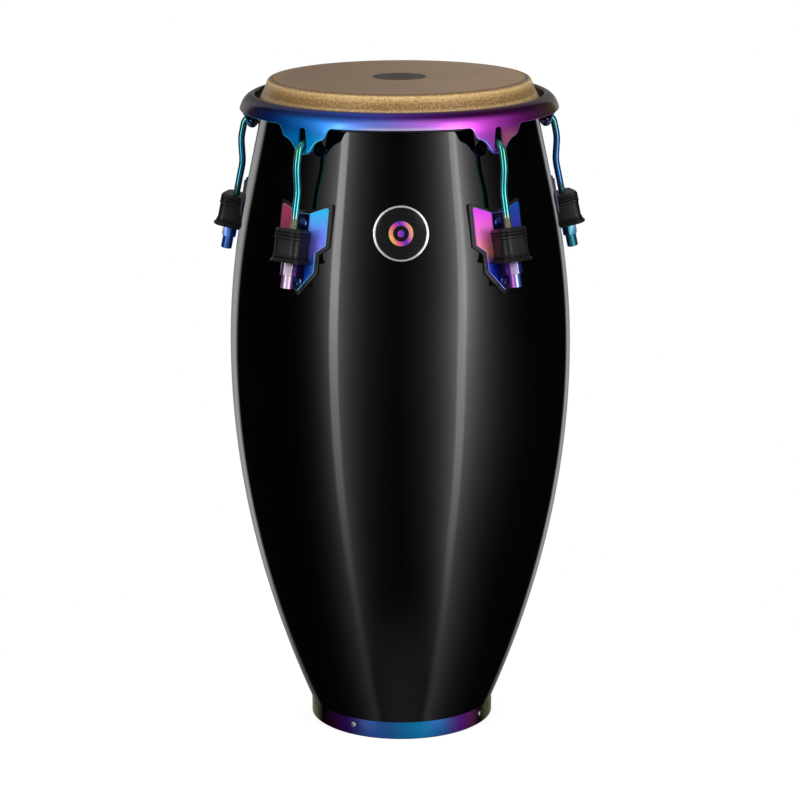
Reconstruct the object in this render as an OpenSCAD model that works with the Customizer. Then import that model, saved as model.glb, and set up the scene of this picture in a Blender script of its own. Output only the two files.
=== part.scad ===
// Conga drum: moulded shell, tucked head, formed rim with hook ears and five tuning lugs.
// Millimetres, +Z up, floor at z = 0, drum axis on Z, front towards -Y.

/* [Shell] */
// Radius at the widest part of the belly
belly_r = 197.3; // [160:0.1:240]
// Height of the widest part of the belly
belly_z = 446; // [400:1:500]
// Radius the lower curve reaches at the lower edge of the shell
foot_curve_r = 99.8; // [85:0.1:130]
// Lower edge of the shell above the floor
shell_z0 = 4; // [3:0.5:8]
// Height where the upper body turns straight
straight_z = 631; // [600:1:660]
// Height of the bearing edge
shell_top_z = 760.5; // [740:0.5:780]
// Lean of the straight upper body in degrees
upper_lean = 12.1; // [9:0.1:15]
// Thickness of the shell wall
wall = 9; // [6:0.5:12]

/* [Head] */
// Thickness of the head
skin_t = 1.5; // [1:0.1:3]
// Distance from the shell's outside in to the edge of the flat face
face_inset = 4.7; // [3:0.1:8]
// Height of the head's shoulder below the face
shoulder_drop = 6.5; // [5:0.1:9]
// Depth of the sloping collar below the face
collar_drop = 28; // [24:0.5:34]
// Depth of the tucked skirt below the face
skirt_drop = 40; // [38:0.5:46]
// Distance from the shell out to the tucked skirt
skirt_gap = 6.6; // [6:0.1:10]

/* [Rim] */
// Side of the square flesh hoop
hoop_w = 8; // [6:0.5:10]
// Height of the flesh hoop's top below the face
hoop_drop = 29; // [27:0.5:32]
// Slide clearance between hoop and skirt
hoop_clear = 0.3; // [0.2:0.05:0.8]
// Sheet thickness of the rim
rim_t = 3; // [2.5:0.1:4]
// Distance from the middle of the hoop out to the rim's outer edge
rim_reach = 15.7; // [14:0.1:20]
// Height of the rim's top below the face
rim_top_drop = 17; // [15:0.5:20]
// Height of the rim's lower edge below the face
rim_low_drop = 33.5; // [32:0.5:38]
// Half width of an ear where it leaves the rim
ear_w = 34.5; // [28:0.5:40]
// Depth of an ear below the rim's lower edge
ear_h = 32.5; // [30:0.5:38]
// Clearance of the hook rod in the ear's slot
slot_clear = 0.7; // [0.4:0.1:2]
// Height of the curled lip at the tip of an ear
lip_h = 8; // [6:0.5:10]

/* [Lugs] */
// Depth of the point that places the lug's screw axis, below the bearing edge
lug_drop = 137.5; // [120:0.5:160]
// Distance from the shell out to the screw axis at that point
lug_off = 20; // [18:0.1:26]
// Lean of the screw axis in degrees
lug_tilt = 12.4; // [10:0.1:15]
// Radius of a hook rod
rod_r = 4; // [3:0.1:4.5]
// Depth of the rod's upper knee below the top of the hook
knee_below = 25.4; // [21:0.1:32]
// Height between the rod's knees
knee_step = 27.2; // [24:0.1:36]
// Bend radius of the knees
knee_r = 45; // [30:1:60]
// Bend radius where the rod turns in through the ear
hook_out_r = 11; // [10:0.5:13]
// Bend radius at the free end of the hook
hook_in_r = 8; // [7.5:0.1:9]
// Running gap between hook and ear lip
hook_gap = 0.45; // [0.3:0.05:0.8]
// Lower end of the rod along the axis below the lug point
rod_end = 66; // [62:0.5:70]

/* [Side plates] */
// Depth of the plate's reference point below the lug point
plate_below = 29; // [24:0.5:32]
// Gasket thickness at the reference point
gasket_t = 2; // [1.5:0.1:4]
// Sheet thickness of the plate
plate_t = 2.5; // [2:0.1:4]
// Half width across the wings
wing_w = 32; // [28:0.5:38]
// Half width of the lower part
stem_w = 20; // [18:0.5:24]
// Half width of the flat middle
channel_w = 10; // [9:0.5:14]
// Bend of the wings back towards the shell in degrees
wing_bend = 7; // [4:0.5:10]
// Height of the wing corners above the reference point
wing_top = 48; // [44:0.5:54]
// Depth of the pointed tip below the reference point
tip_drop = 47.5; // [44:0.5:54]
// Width of gasket showing around the plate
gasket_lip = 3.5; // [2:0.1:6]
// Height of the upper bolt above the reference point
bolt_up = 27.4; // [26:0.1:32]
// Depth of the lower bolt below the reference point
bolt_down = 37; // [35:0.1:40]
// Radius of a bolt
bolt_r = 2.5; // [2:0.1:3.5]
// Radius of a bolt head
bolt_head_r = 6; // [5:0.1:7]
// Height of a bolt head
bolt_head_h = 3.6; // [3:0.1:4.5]
// Clearance of the bolt holes
bolt_clear = 0.15; // [0.1:0.05:0.5]

/* [Lug covers] */
// Top of the rubber cover along the axis below the lug point
cover_top = 6.4; // [5:0.1:11]
// Length of the rubber cover
cover_h = 37.6; // [34:0.1:44]
// Half width of the rubber cover
cover_w = 16.5; // [15:0.1:20]
// Distance from the screw axis to the front of the cover
cover_front = 14.2; // [13.6:0.1:18]
// Rubber thickness
cover_t = 3; // [2:0.1:4]
// Radius of the cover's front corners
cover_corner = 8; // [6:0.5:11]
// Draft of the cover's sides in degrees, narrower towards the plate
cover_draft = 11; // [0:0.5:12]
// How far the lower skirt flares
flare = 3.5; // [2:0.1:5]
// Height of the ribs on the cover
rib = 0.9; // [0.4:0.1:1.5]
// Radius of the bracket's barrel
barrel_r = 9; // [8:0.1:10]
// Clearance of the rod in bracket, cover and washer
rod_clear = 0.6; // [0.4:0.05:1]

/* [Tuning nuts] */
// Width across the flats of the tuning nut
nut_flats = 15.5; // [13:0.1:18]
// Length of the hexagon
hex_h = 18; // [11:0.1:22]
// Length of the round end
round_h = 14.6; // [12:0.1:20]
// Radius of the round end
round_r = 6.5; // [5.5:0.1:7]
// Thickness of the thrust washer
washer_t = 2; // [1:0.1:3]
// Gap between nut and thrust washer
nut_gap = 0.3; // [0.2:0.05:0.6]
// Running clearance of the rod in the nut
thread_clear = 0.05; // [0.02:0.01:0.1]

/* [Foot] */
// Height of the foot ring's upper edge
ring_top = 21.5; // [18:0.5:30]
// Sheet thickness of the foot ring
ring_t = 2; // [1.5:0.1:3]
// Lower edge of the foot ring above the floor
ring_low = 1.5; // [1:0.1:3]
// Width of the rubber foot
rubber_w = 9; // [7:0.5:14]
// Number of foot ring screws
ring_screws = 4; // [3:1:6]
// Turn of the first screw from the front in degrees
screw_turn = 58; // [0:1:89]
// Height of the screws
screw_z = 14; // [11:0.5:17]
// Radius of a screw
screw_r = 1.9; // [1.5:0.1:2.5]
// Radius of a screw head
screw_head_r = 3.4; // [3:0.1:4.5]

/* [Badge] */
// Radius of the round badge
badge_r = 30.5; // [20:0.5:40]
// Depth of the middle of the badge below the bearing edge
badge_drop = 146; // [120:0.5:180]
// Thickness of the badge
badge_t = 0.8; // [0.5:0.1:2]

/* [Hidden] */
$fn = 96;

// one set of lug nodes for each lug
lugs = 5;
slope = tan(upper_lean);
lower_steps = 22;
bend_steps = 12;

// outside of the shell at height z: two parabolas that meet at the belly, then a straight cone
function shell_r(z) =
  z < belly_z ? belly_r - (belly_r - foot_curve_r) * pow((belly_z - z) / (belly_z - shell_z0), 2)
  : z < straight_z ? belly_r - slope * pow(z - belly_z, 2) / (2 * (straight_z - belly_z))
  : belly_r - slope * ((straight_z - belly_z) / 2 + z - straight_z);

function shell_lean(z) = atan(slope * max(0, min(1, (z - belly_z) / (straight_z - belly_z))));

top_r = shell_r(shell_top_z);
face_z = shell_top_z + skin_t;
face_r = top_r - face_inset;
edge_z = shell_top_z - 10.5;
collar_z = face_z - collar_drop;
skirt_r = shell_r(collar_z) + skirt_gap;
shoulder_z = face_z - shoulder_drop;
shoulder_r = shell_r(shoulder_z) + 0.7;
collar_lean = atan2(skirt_r - shoulder_r, shoulder_z - collar_z);
skin_across = skin_t / cos(collar_lean);

hoop_r = skirt_r + hoop_clear + hoop_w / 2;
hoop_top = face_z - hoop_drop;
rim_r = hoop_r + rim_reach;
rim_top = face_z - rim_top_drop;
rim_low = face_z - rim_low_drop;
leg_in = hoop_r - 1.8;
leg_out = leg_in + rim_t;
ear_tip = rim_low - ear_h;
lip_out = rim_r - rim_t - 2;
lip_in = lip_out - 2.4;
lip_r = (lip_in + lip_out) / 2;
lip_top = ear_tip + lip_h;

lug_z = shell_top_z - lug_drop;
lug_r = shell_r(lug_z) + lug_off;
lug_step = 360 / lugs;
apex_z = lip_top + hook_gap + rod_r;
knee_top_z = apex_z - knee_below;
knee_low_z = knee_top_z - knee_step;
hook_run = 3.3;
bend_r = lip_r + hook_run + hook_out_r * cos(lug_tilt);
bend_z = apex_z - hook_out_r * (1 - sin(lug_tilt));
knee_top_r = bend_r + (bend_z - knee_top_z) * tan(lug_tilt);
knee_low_r = lug_r + (lug_z - knee_low_z) * tan(lug_tilt);
knee_lean = atan2(knee_top_r - knee_low_r, knee_top_z - knee_low_z);
knee_turn = lug_tilt + knee_lean;
knee_cut = knee_r * tan(knee_turn / 2);
low_run = rod_end + (knee_low_z - lug_z) / cos(lug_tilt) - knee_cut;
mid_run = norm([knee_top_r - knee_low_r, knee_top_z - knee_low_z]) - 2 * knee_cut;
top_run = (bend_z - knee_top_z) / cos(lug_tilt) - knee_cut;

plate_z = lug_z - plate_below;
plate_tilt = shell_lean(plate_z);
plate_r = shell_r(plate_z) + gasket_t + plate_t;
wing_back = (wing_w + gasket_lip + 4 - channel_w) * tan(wing_bend);
wing_dip = plate_t / cos(wing_bend);
channel_top = wing_top - 9.6;
corner_low = 5;
step_low = 4;
stem_low = 25.5;

cover_bottom = cover_top + cover_h;
bracket_low = cover_bottom - 6.3;
bracket_top = cover_top + cover_t + 0.6;
nut_top = bracket_low + washer_t;
hex_end = nut_top + hex_h;
nut_end = hex_end + round_h;
hex_r = nut_flats / 2 / cos(30);

ring_r = shell_r(ring_top);
foot_r = ring_r - ring_t;
screw_pitch = 360 / ring_screws;

function bezier(a, b, c, t) = a * (1 - t) * (1 - t) + b * 2 * t * (1 - t) + c * t * t;
function along(a, b, c, t) = (b - a) * (1 - t) + (c - b) * t;
function side(v) = [v[1], -v[0]] / norm(v);
function arc(x, y, r, from, to, steps) =
  [for (i = [0:steps]) [x + r * cos(from + (to - from) * i / steps), y + r * sin(from + (to - from) * i / steps)]];
function flip(points) = [for (i = [len(points) - 1:-1:0]) [-points[i][0], points[i][1]]];

// round each corner [x, y, radius] of an outline
function corner_cut(a, b, c) = let (u = (a - b) / norm(a - b), v = (c - b) / norm(c - b)) acos(u * v) / 2;
function soft_corner(a, b, c, r, steps) =
  let (
    u = (a - b) / norm(a - b),
    v = (c - b) / norm(c - b),
    half = corner_cut(a, b, c),
    m = b + (u + v) / norm(u + v) * r / sin(half),
    p = b + u * r / tan(half) - m,
    q = b + v * r / tan(half) - m,
    from = atan2(p[1], p[0]),
    turn = atan2(q[1], q[0]) - from,
    sweep = turn > 180 ? turn - 360 : turn < -180 ? turn + 360 : turn
  )
  [for (i = [0:steps]) m + r * [cos(from + sweep * i / steps), sin(from + sweep * i / steps)]];
function flat(p) = [p[0], p[1]];
function soft(points, steps) =
  [for (i = [0:len(points) - 1])
    let (n = len(points), a = points[(i + n - 1) % n], b = points[i], c = points[(i + 1) % n])
    each (b[2] > 0 ? soft_corner(flat(a), flat(b), flat(c), b[2], steps) : [flat(b)])];

module at_lug(k) {
  rotate([0, 0, -90 - lug_step / 2 + lug_step * (k - 1)]) children();
}
module on_axis() {
  translate([lug_r, 0, lug_z]) rotate([0, -lug_tilt, 0]) children();
}
module on_plate() {
  translate([plate_r, 0, plate_z]) rotate([0, -plate_tilt, 0]) children();
}
module outwards(depth) {
  rotate([90, 0, 90]) linear_extrude(height = depth) children();
}

// solid inside of the shell's outer skin, or that much bigger
module shell_mass(grow) {
  low = [for (i = [0:lower_steps]) ring_top + (belly_z - ring_top) * i / lower_steps];
  bend = [for (i = [1:bend_steps]) belly_z + (straight_z - belly_z) * i / bend_steps];
  points = concat(
    [[0, shell_z0], [foot_r + grow, shell_z0], [foot_r + grow, ring_top]],
    [for (z = low) [shell_r(z) + grow, z]],
    [for (z = bend) [shell_r(z) + grow, z]],
    [[shell_r(edge_z) + grow, edge_z], [face_r + 1.5 + grow, shell_top_z], [0, shell_top_z]]
  );
  rotate_extrude($fn = 480) polygon(points);
}
module shell_hollow() {
  low = [for (i = [1:lower_steps]) ring_top + (belly_z - ring_top) * i / lower_steps];
  bend = [for (i = [1:bend_steps]) belly_z + (straight_z - belly_z) * i / bend_steps];
  points = concat(
    [[0, shell_z0 - 1], [foot_r - wall, shell_z0 - 1], [foot_r - wall, ring_top]],
    [for (z = low) [shell_r(z) - wall, z]],
    [for (z = bend) [shell_r(z) - wall, z]],
    [[shell_r(edge_z) - wall, edge_z], [top_r - wall, shell_top_z + 1], [0, shell_top_z + 1]]
  );
  rotate_extrude() polygon(points);
}

bolt_heights = [bolt_up, -bolt_down];
function bolt_z(t) = plate_z + t * cos(plate_tilt);
function bolt_plate_r(t) = plate_r - t * sin(plate_tilt);
function spot_depth(t) = (bolt_plate_r(t) - shell_r(bolt_z(t)) + wall) * cos(plate_tilt) - 0.8;
module at_bolt(t) {
  on_plate() translate([0, 0, t]) rotate([0, 90, 0]) children();
}

module shell() {
  color([0.03, 0.03, 0.035])
  difference() {
    shell_mass(0);
    shell_hollow();
    for (k = [1:lugs])
      for (t = bolt_heights)
        at_lug(k) at_bolt(t) {
          translate([0, 0, -40]) cylinder(r = bolt_r + bolt_clear, h = 45);
          translate([0, 0, -spot_depth(t) - 12]) cylinder(r = 8.6, h = 12);
        }
    for (i = [1:ring_screws])
      at_screw(i) translate([foot_r - wall - 2, 0, 0]) rotate([0, 90, 0]) cylinder(r = screw_r, h = wall + 4);
  }
}

module head_skin() {
  outer = concat(
    [[0, face_z], [face_r, face_z]],
    [[face_r + (shoulder_r - face_r) * 0.62, face_z - shoulder_drop * 0.3]],
    [[shoulder_r, shoulder_z], [skirt_r, collar_z], [skirt_r, face_z - skirt_drop]]
  );
  inner = [
    [skirt_r - skin_t, face_z - skirt_drop],
    [skirt_r - skin_t, collar_z],
    [shoulder_r - skin_across, shoulder_z - 0.4],
    [face_r + 1.5, shell_top_z],
    [0, shell_top_z]
  ];
  color([0.5, 0.43, 0.37]) rotate_extrude() polygon(concat(outer, inner));
}

module flesh_hoop() {
  c = 1.6;
  a = hoop_w / 2;
  points = [
    [a - c, -hoop_w], [a, c - hoop_w], [a, -c], [a - c, 0],
    [c - a, 0], [-a, -c], [-a, c - hoop_w], [c - a, -hoop_w]
  ];
  color([0.45, 0.42, 0.38]) translate([0, 0, hoop_top])
    rotate_extrude() translate([hoop_r, 0]) polygon(points);
}

module rim_ring() {
  a = [hoop_r + 0.2, rim_top];
  b = [hoop_r + rim_reach * 0.76, rim_top - 2.5];
  c = [rim_r, rim_low];
  top = [for (i = [0:10]) bezier(a, b, c, i / 10)];
  under = [for (i = [8:-1:2]) bezier(a, b, c, i / 10) + rim_t * side(along(a, b, c, i / 10))];
  points = concat(
    [[leg_in, hoop_top], [leg_in, rim_top - 2.2], [leg_in + 0.8, rim_top - 0.5]],
    top,
    [[rim_r - rim_t, rim_low]],
    under,
    [[leg_out, rim_top - 5.2], [leg_out, hoop_top]]
  );
  rotate_extrude() polygon(points);
}

module ear_outline() {
  half = [
    [ear_w * 1.2, 5, 0], [ear_w * 1.2, 0, 0], [ear_w * 0.94, -ear_h * 0.09, 6], [ear_w * 0.81, -ear_h * 0.41, 4],
    [ear_w * 0.49, -ear_h * 0.53, 5], [ear_w * 0.25, -ear_h * 0.89, 3], [ear_w * 0.11, -ear_h, 3]
  ];
  other = [for (i = [len(half) - 1:-1:0]) [-half[i][0], half[i][1], half[i][2]]];
  polygon(soft(concat(half, other), 5));
}
module slot_outline() {
  slot_r = rod_r + slot_clear;
  low_r = slot_r * 1.28;
  polygon(concat(
    arc(0, -2 - slot_r, slot_r, 0, 180, 12),
    arc(0, 4.6 + low_r - ear_h, low_r, 180, 360, 16)
  ));
}
module rim() {
  tuck = 0.05;
  root = 2.5;
  ear_out = rim_r - tuck;
  ear_in = rim_r - rim_t + tuck;
  curl = [
    [ear_out - 1.2, rim_low + root], [ear_out, rim_low - tuck], [ear_out, ear_tip + 2.5],
    [ear_out - 2.5, ear_tip], [lip_in + 2.5, ear_tip], [lip_in, ear_tip + 2.5],
    [lip_in, lip_top - 0.8], [lip_r - 0.4, lip_top], [lip_r + 0.4, lip_top],
    [lip_out, lip_top - 0.8], [lip_out, ear_tip + 3.6], [ear_in, ear_tip + 3.6],
    [ear_in, rim_low - tuck], [ear_in + 0.4, rim_low + root]
  ];
  color([0.2, 0.25, 0.7]) union() {
    rim_ring();
    for (k = [1:lugs])
      difference() {
        intersection() {
          rotate_extrude() polygon(curl);
          at_lug(k) translate([lip_in - 30, 0, rim_low]) outwards(60) ear_outline();
        }
        at_lug(k) translate([lip_out + 0.6, 0, rim_low]) outwards(30) slot_outline();
      }
  }
}

module badge() {
  badge_z = shell_top_z - badge_drop;
  tilt = shell_lean(badge_z);
  color([0.6, 0.62, 0.65]) difference() {
    intersection() {
      shell_mass(badge_t);
      rotate([0, 0, -90]) translate([shell_r(badge_z), 0, badge_z]) rotate([0, 90 - tilt, 0])
        translate([0, 0, -12]) cylinder(r = badge_r, h = 24);
    }
    shell_mass(0);
  }
}

module at_screw(i) {
  rotate([0, 0, -90 + screw_turn + screw_pitch * (i - 1)]) translate([0, 0, screw_z]) children();
}
module foot_ring() {
  color([0.15, 0.2, 0.6]) difference() {
    translate([0, 0, ring_low]) cylinder(r = ring_r, h = ring_top - ring_low);
    translate([0, 0, ring_low - 1]) cylinder(r = foot_r, h = ring_top - ring_low + 2);
    for (i = [1:ring_screws])
      at_screw(i) translate([foot_r - 5, 0, 0]) rotate([0, 90, 0]) cylinder(r = screw_r + 0.2, h = 12);
  }
}
module foot_ring_screws() {
  color([0.3, 0.35, 0.7])
  for (i = [1:ring_screws])
    at_screw(i) translate([ring_r, 0, 0]) rotate([0, 90, 0]) {
      cylinder(r = screw_head_r, h = 1.2);
      translate([0, 0, 1.2]) cylinder(r1 = screw_head_r, r2 = screw_head_r - 1, h = 0.8);
      translate([0, 0, -wall - ring_t - 1]) cylinder(r = screw_r, h = wall + ring_t + 1);
    }
}
module foot_rubber() {
  color([0.06, 0.06, 0.06]) difference() {
    cylinder(r = foot_r, h = shell_z0);
    translate([0, 0, -1]) cylinder(r = foot_r - rubber_w, h = shell_z0 + 2);
  }
}

module plate_outline(grow) {
  g = grow;
  half = [
    [channel_w * 0.96, channel_top + g, 0], [channel_w * 1.05, channel_top + 1 + g, 0],
    [wing_w + g, wing_top + g * 1.2, 2.5], [wing_w + g, corner_low - g * 0.5, 2],
    [stem_w + g, -step_low - g * 0.5, 2], [stem_w + g, -stem_low - g * 0.5, 2],
    [1.5, -tip_drop - g * 1.3, 1]
  ];
  other = [for (i = [len(half) - 1:-1:0]) [-half[i][0], half[i][1], half[i][2]]];
  polygon(soft(concat(half, other), 4));
}
// bent cross-section between two depths behind the plate's face
module bent_sheet(front, back) {
  far = wing_w + gasket_lip + 4;
  points = [
    [-front, channel_w], [-front - wing_back, far], [-back - wing_back, far], [-back, channel_w],
    [-back, -channel_w], [-back - wing_back, -far], [-front - wing_back, -far], [-front, -channel_w]
  ];
  translate([0, 0, -tip_drop - 20]) linear_extrude(height = tip_drop + wing_top + 40) polygon(points);
}
module side_plate(k) {
  color([0.25, 0.2, 0.75]) at_lug(k) difference() {
    on_plate() intersection() {
      bent_sheet(0, wing_dip);
      translate([-30, 0, 0]) outwards(60) plate_outline(0);
    }
    for (t = bolt_heights)
      at_bolt(t) translate([0, 0, -20]) cylinder(r = bolt_r + bolt_clear, h = 40);
  }
}
module plate_gasket(k) {
  color([0.05, 0.05, 0.05]) difference() {
    at_lug(k) on_plate() intersection() {
      bent_sheet(wing_dip, 24);
      translate([-30, 0, 0]) outwards(60) plate_outline(gasket_lip);
    }
    shell_mass(0);
    for (t = bolt_heights)
      at_lug(k) at_bolt(t) translate([0, 0, -20]) cylinder(r = bolt_r + bolt_clear, h = 40);
  }
}

module plate_bolts() {
  dome_r = (bolt_head_r * bolt_head_r + bolt_head_h * bolt_head_h) / (2 * bolt_head_h);
  color([0.2, 0.2, 0.5])
  for (k = [1:lugs])
    for (t = bolt_heights)
      at_lug(k) at_bolt(t) {
        intersection() {
          translate([0, 0, bolt_head_h - dome_r]) sphere(r = dome_r);
          cylinder(r = bolt_head_r + 1, h = bolt_head_h + 1);
        }
        translate([0, 0, -spot_depth(t) - 10]) cylinder(r = bolt_r, h = spot_depth(t) + 10);
      }
}
module bolt_washers() {
  color([0.6, 0.6, 0.6])
  for (k = [1:lugs])
    for (t = bolt_heights)
      at_lug(k) at_bolt(t) translate([0, 0, -spot_depth(t) - 1.5]) difference() {
        cylinder(r = 8, h = 1.5);
        translate([0, 0, -1]) cylinder(r = bolt_r + bolt_clear, h = 4);
      }
}
module bolt_nuts() {
  color([0.6, 0.6, 0.6])
  for (k = [1:lugs])
    for (t = bolt_heights)
      at_lug(k) at_bolt(t) translate([0, 0, -spot_depth(t) - 6.5]) difference() {
        cylinder(r = bolt_r * 1.85, h = 5, $fn = 6);
        translate([0, 0, -1]) cylinder(r = bolt_r, h = 7);
      }
}

module lug_bracket(k) {
  color([0.3, 0.3, 0.35]) at_lug(k) difference() {
    on_axis() {
      translate([0, 0, -bracket_low]) cylinder(r = barrel_r, h = bracket_low - bracket_top);
      translate([-30, -6, -bracket_low]) cube([30, 12, bracket_low - bracket_top]);
      translate([-30, -channel_w + 2, -bracket_low + 4])
        cube([16.5, 2 * channel_w - 4, bracket_low - bracket_top - 8]);
    }
    on_plate() bent_sheet(0, 40);
    on_axis() translate([0, 0, -80]) cylinder(r = rod_r + rod_clear, h = 90);
  }
}

module cover_outline(grow) {
  w = cover_w + grow;
  f = cover_front + grow;
  r = cover_corner + grow;
  turn = 90 + cover_draft;
  start = f - r + r * cos(turn);
  back = w - r + r * sin(turn) - (start + 32) * tan(cover_draft);
  polygon(concat(
    [[-32, -back]],
    arc(f - r, r - w, r, -turn, 0, 8),
    arc(f - r, w - r, r, 0, turn, 8),
    [[-32, back]]
  ));
}
module cover_band(from, to, grow) {
  translate([0, 0, -cover_top - to]) linear_extrude(height = to - from) cover_outline(grow);
}
module rubber_cover(k) {
  s = cover_h / 40;
  color([0.08, 0.08, 0.08]) at_lug(k) difference() {
    on_axis() {
      cover_band(0, 2.2 * s, -0.4);
      cover_band(2.2 * s, 4.4 * s, rib);
      cover_band(4.4 * s, 5.8 * s, 0);
      cover_band(5.8 * s, 8 * s, rib);
      cover_band(8 * s, 9.4 * s, 0);
      cover_band(9.4 * s, 12.6 * s, rib);
      cover_band(12.6 * s, 32 * s, 0);
      cover_band(32 * s, 34 * s, rib);
      cover_band(34 * s, 35.4 * s, flare * 0.2);
      cover_band(35.4 * s, 36.8 * s, flare * 0.5);
      cover_band(36.8 * s, 38.2 * s, flare * 0.8);
      cover_band(38.2 * s, cover_h, flare);
    }
    on_axis() cover_band(cover_t, cover_h + 5, -cover_t);
    on_plate() bent_sheet(0, 50);
    on_axis() translate([0, 0, -20]) cylinder(r = rod_r + rod_clear, h = 40);
  }
}

module tuning_washers() {
  color([0.5, 0.5, 0.55])
  for (k = [1:lugs])
    at_lug(k) on_axis() translate([0, 0, -nut_top]) difference() {
      cylinder(r = barrel_r - 0.4, h = washer_t);
      translate([0, 0, -1]) cylinder(r = rod_r + rod_clear, h = washer_t + 2);
    }
}
module tuning_nut(k) {
  color([0.5, 0.35, 0.8]) at_lug(k) on_axis() difference() {
    union() {
      translate([0, 0, -hex_end]) cylinder(r = hex_r, h = hex_h - nut_gap, $fn = 6);
      translate([0, 0, -nut_end]) cylinder(r = round_r, h = round_h + 1);
    }
    translate([0, 0, -nut_end - 1]) cylinder(r = rod_r + thread_clear, h = nut_end);
  }
}

// rod built up step by step: straight run, then a bend of that angle and radius, towards the drum when positive
module bent_rod(steps, i) {
  seat = 0.2;
  step = 0.02;
  run = steps[i][0];
  turn = steps[i][1];
  bend = steps[i][2];
  way = turn < 0 ? 1 : -1;
  first = turn < 0 ? 180 + turn : 0;
  translate([0, 0, -seat]) cylinder(r = rod_r - step, h = run + 2 * seat);
  if (i < len(steps) - 1)
    translate([0, 0, run]) {
      translate([way * bend, 0, 0]) rotate([90, 0, 0]) rotate([0, 0, first])
        rotate_extrude(angle = abs(turn)) translate([bend, 0]) circle(r = rod_r);
      translate([way * bend * (1 - cos(turn)), 0, bend * sin(abs(turn))]) rotate([0, -turn, 0])
        bent_rod(steps, i + 1);
    }
}
module hook_rod(k) {
  steps = [
    [low_run, -knee_turn, knee_r],
    [mid_run, knee_turn, knee_r],
    [top_run, 90 - lug_tilt, hook_out_r],
    [hook_run, 90, hook_in_r],
    [1.2, 0, 1]
  ];
  color([0.1, 0.6, 0.65]) at_lug(k) on_axis() translate([0, 0, -rod_end]) bent_rod(steps, 0);
}

shell();
head_skin();
flesh_hoop();
rim();
badge();
foot_ring();
foot_ring_screws();
foot_rubber();
plate_bolts();
bolt_washers();
bolt_nuts();
tuning_washers();
plate_gasket(1);  // plate_gasket_1
plate_gasket(2);  // plate_gasket_2
plate_gasket(3);  // plate_gasket_3
plate_gasket(4);  // plate_gasket_4
plate_gasket(5);  // plate_gasket_5
side_plate(1);  // side_plate_1
side_plate(2);  // side_plate_2
side_plate(3);  // side_plate_3
side_plate(4);  // side_plate_4
side_plate(5);  // side_plate_5
lug_bracket(1);  // lug_bracket_1
lug_bracket(2);  // lug_bracket_2
lug_bracket(3);  // lug_bracket_3
lug_bracket(4);  // lug_bracket_4
lug_bracket(5);  // lug_bracket_5
rubber_cover(1);  // rubber_cover_1
rubber_cover(2);  // rubber_cover_2
rubber_cover(3);  // rubber_cover_3
rubber_cover(4);  // rubber_cover_4
rubber_cover(5);  // rubber_cover_5
hook_rod(1);  // hook_rod_1
hook_rod(2);  // hook_rod_2
hook_rod(3);  // hook_rod_3
hook_rod(4);  // hook_rod_4
hook_rod(5);  // hook_rod_5
tuning_nut(1);  // tuning_nut_1
tuning_nut(2);  // tuning_nut_2
tuning_nut(3);  // tuning_nut_3
tuning_nut(4);  // tuning_nut_4
tuning_nut(5);  // tuning_nut_5
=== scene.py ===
import math
import bpy
from mathutils import Matrix, Vector


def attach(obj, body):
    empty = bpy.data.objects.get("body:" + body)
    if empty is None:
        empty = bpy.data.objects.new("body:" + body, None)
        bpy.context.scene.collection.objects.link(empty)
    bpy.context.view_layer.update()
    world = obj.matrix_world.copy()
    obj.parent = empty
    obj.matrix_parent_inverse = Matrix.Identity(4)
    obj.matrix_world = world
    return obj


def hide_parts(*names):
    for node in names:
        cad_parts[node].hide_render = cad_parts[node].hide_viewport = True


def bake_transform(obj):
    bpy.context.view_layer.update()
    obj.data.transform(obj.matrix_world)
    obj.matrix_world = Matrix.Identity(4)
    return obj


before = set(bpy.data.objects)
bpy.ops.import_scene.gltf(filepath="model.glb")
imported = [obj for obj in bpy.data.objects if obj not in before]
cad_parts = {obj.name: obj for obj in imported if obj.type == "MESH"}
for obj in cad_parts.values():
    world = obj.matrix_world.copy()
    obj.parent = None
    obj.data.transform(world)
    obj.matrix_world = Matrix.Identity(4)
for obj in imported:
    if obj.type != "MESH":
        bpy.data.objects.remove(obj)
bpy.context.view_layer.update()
lugAngles = [-126, -54, 18, 90, 162]  # where the five lugs stand, in degrees from +X
lugs = range(1, len(lugAngles) + 1)
fullTurn = 2 * math.pi
print("frame loaded:", len(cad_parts), "nodes")


def tone(red, green, blue):  # a screen colour, as a shader takes it
    parts = [v / 255 for v in (red, green, blue)]
    return tuple(v / 12.92 if v <= 0.04045 else ((v + 0.055) / 1.055) ** 2.4 for v in parts) + (1.0,)


def tones(*rows):  # stops of a colour ramp, each a place and a screen colour
    return [(place, tone(*colour)) for place, *colour in rows]


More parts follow.
